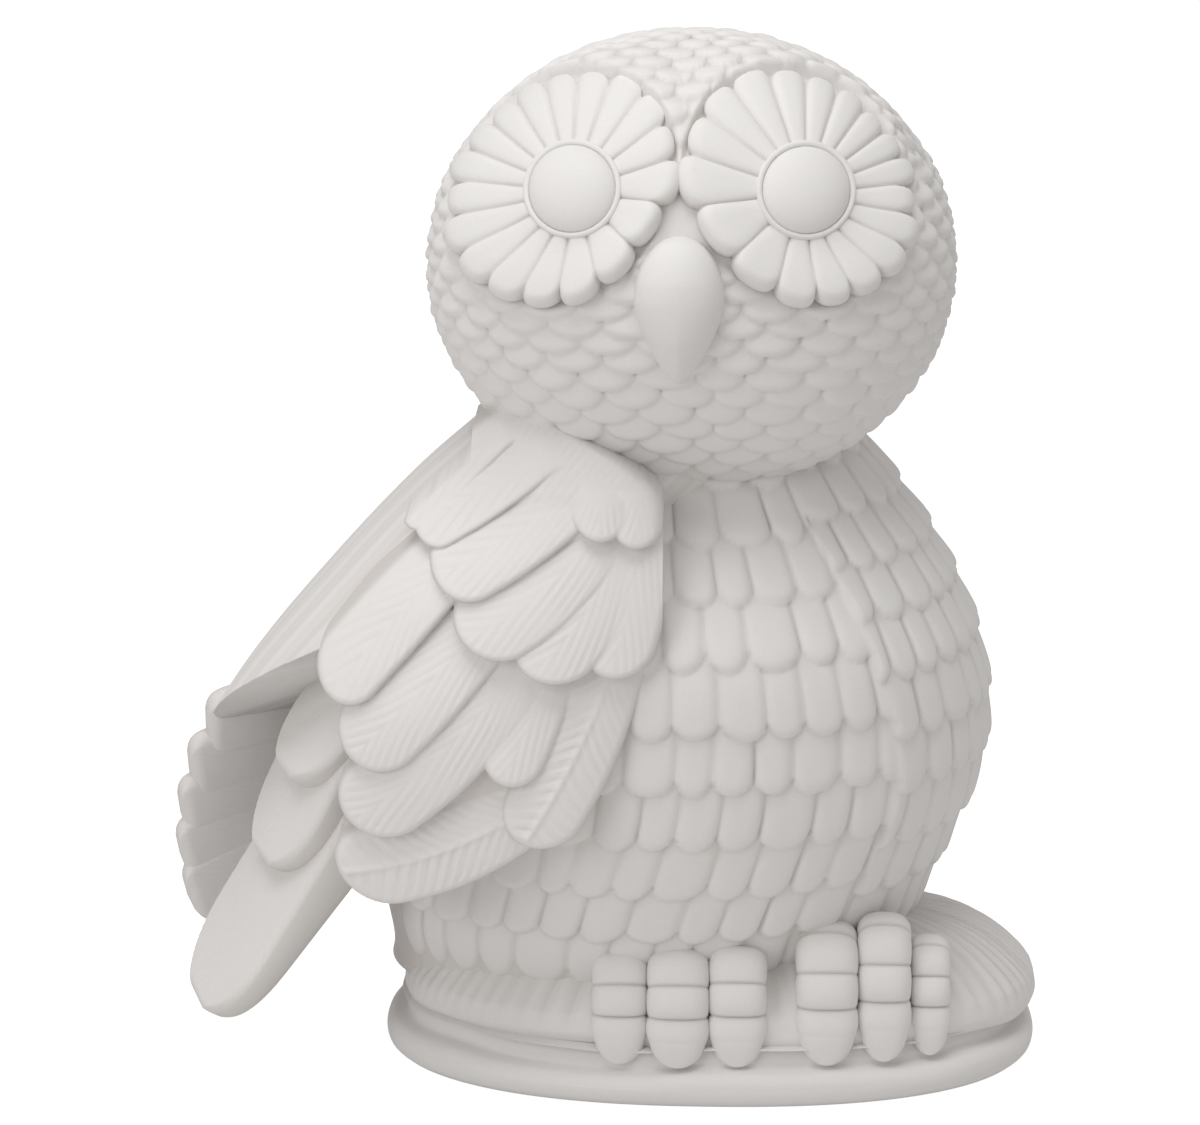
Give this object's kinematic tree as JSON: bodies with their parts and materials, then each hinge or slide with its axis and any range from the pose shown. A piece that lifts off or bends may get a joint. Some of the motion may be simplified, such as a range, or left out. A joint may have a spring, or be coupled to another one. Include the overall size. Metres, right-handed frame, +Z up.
{
  "type": "owl figurine",
  "caption": "Free-standing white bisque porcelain owl with petal-rimmed eyes, tiered breast feathers and folded wings on an oval plinth.",
  "frame": {"origin": "centre of the plinth's flat underside", "axes": "+Z up, -Y the way the face and the toes look, +X the way the breast faces, the tail lies towards -X"},
  "size_m": [0.1762, 0.1157, 0.2068],
  "materials": {
    "bisque_base": "unglazed bisque porcelain, matt white, fine grain",
    "bisque_body": "unglazed bisque porcelain, matt white, carved feathers",
    "bisque_plumage": "unglazed bisque porcelain, matt white, combed barbs",
    "bisque_smooth": "unglazed bisque porcelain, matt white, rubbed smooth"
  },
  "bodies": {
    "root": {"base_plinth": "bisque_base", "ground_tuft": "bisque_base", "torso": "bisque_body", "head": "bisque_body", "mantle": "bisque_body", "wing_right": "bisque_plumage", "wing_left": "bisque_plumage", "tail": "bisque_plumage", "eye_rosette_right": "bisque_plumage", "eye_rosette_left": "bisque_plumage", "eye_ring_right": "bisque_smooth", "eye_ring_left": "bisque_smooth", "eye_dome_right": "bisque_smooth", "eye_dome_left": "bisque_smooth", "beak": "bisque_smooth", "right_foot_outer_toe": "bisque_smooth", "right_foot_middle_toe": "bisque_smooth", "right_foot_inner_toe": "bisque_smooth", "left_foot_inner_toe": "bisque_smooth", "left_foot_middle_toe": "bisque_smooth", "left_foot_outer_toe": "bisque_smooth"}
  },
  "joints": []
}
